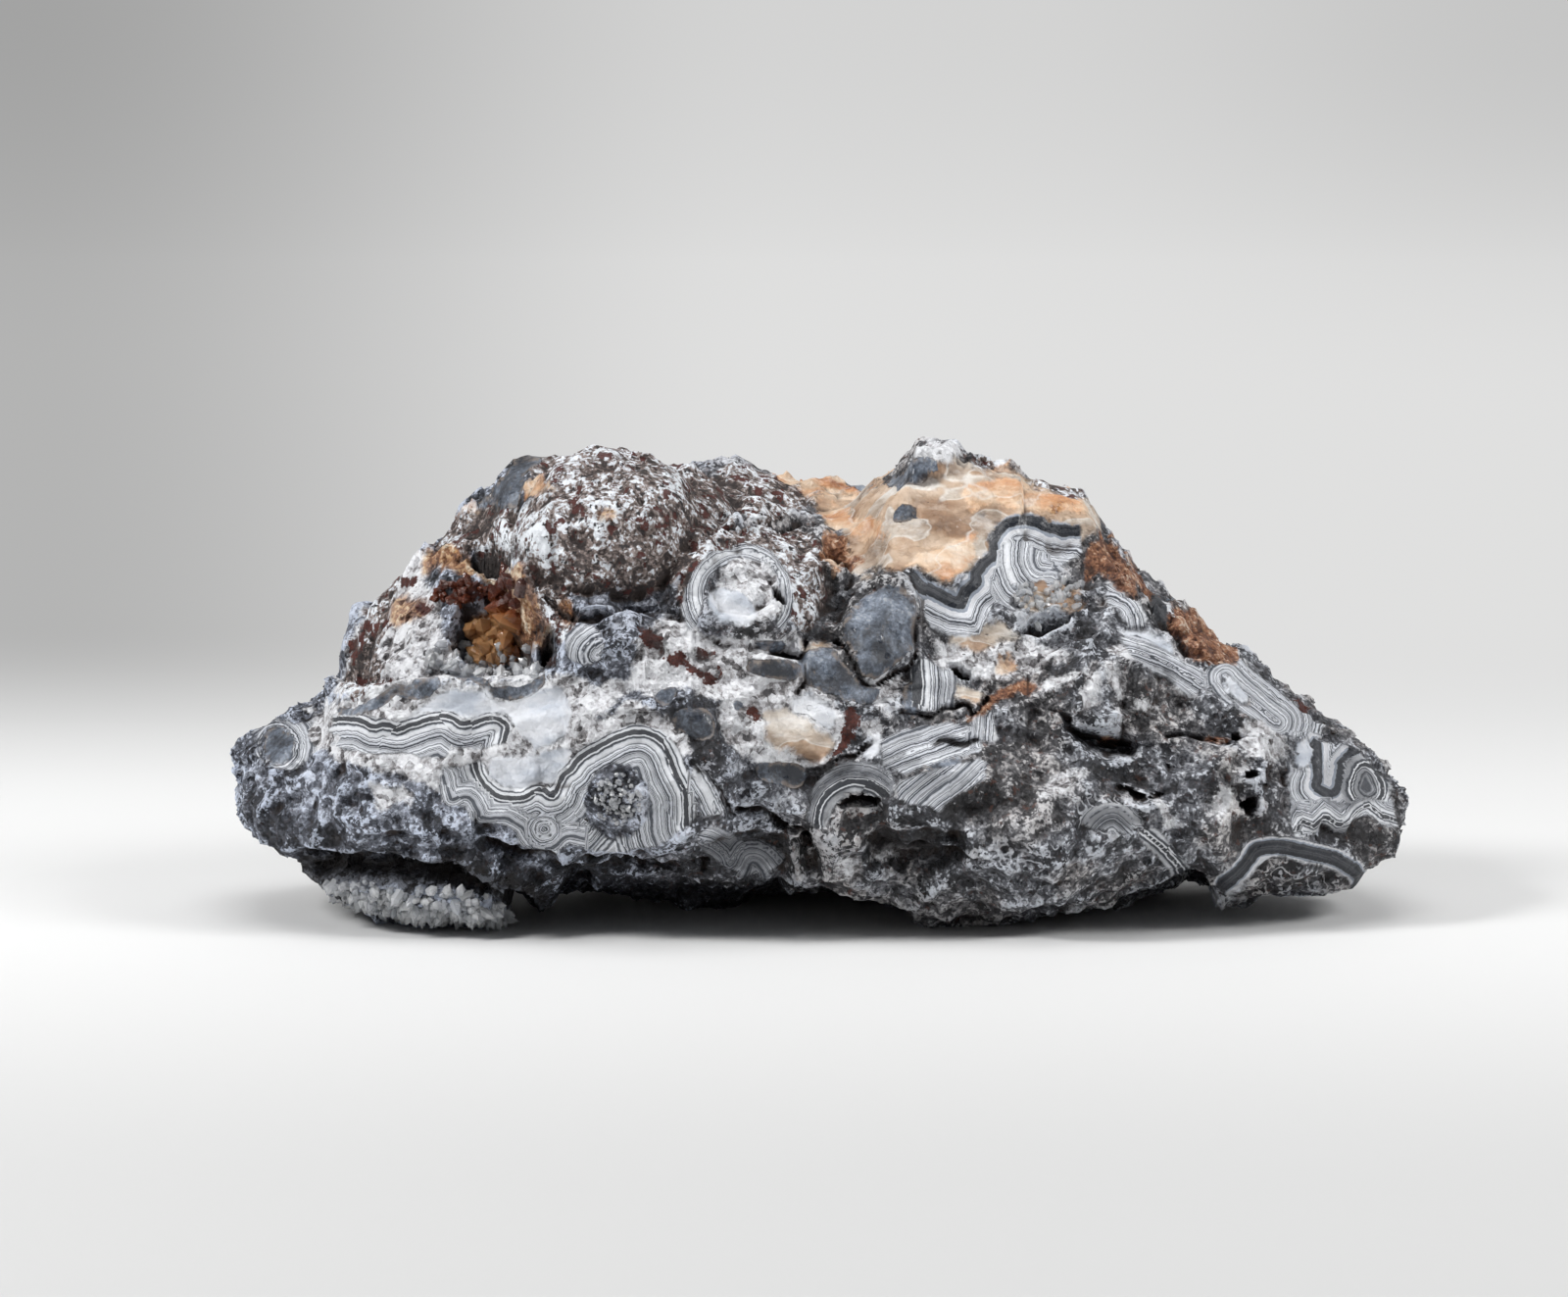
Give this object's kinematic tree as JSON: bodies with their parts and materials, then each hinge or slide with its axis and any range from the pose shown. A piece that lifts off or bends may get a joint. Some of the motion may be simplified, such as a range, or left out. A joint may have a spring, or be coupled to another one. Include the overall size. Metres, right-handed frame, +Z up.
{
  "type": "rough lace agate",
  "caption": "Rough chunk of banded lace agate with speckled domes, a crystal-lined pocket and a broken face, lying on its underside.",
  "frame": {"origin": "under the middle of the stone's outer box, on the surface that it lies on", "axes": "+X along the stone's length, to the right of someone who looks at the broken face; +Y away from that viewer; +Z up"},
  "size_m": [0.1188, 0.06, 0.0474],
  "materials": {
    "agate": "satin",
    "quartz": "gloss"
  },
  "bodies": {
    "root": {"agate_stone": "agate", "pocket_crystals": "quartz"}
  },
  "joints": []
}
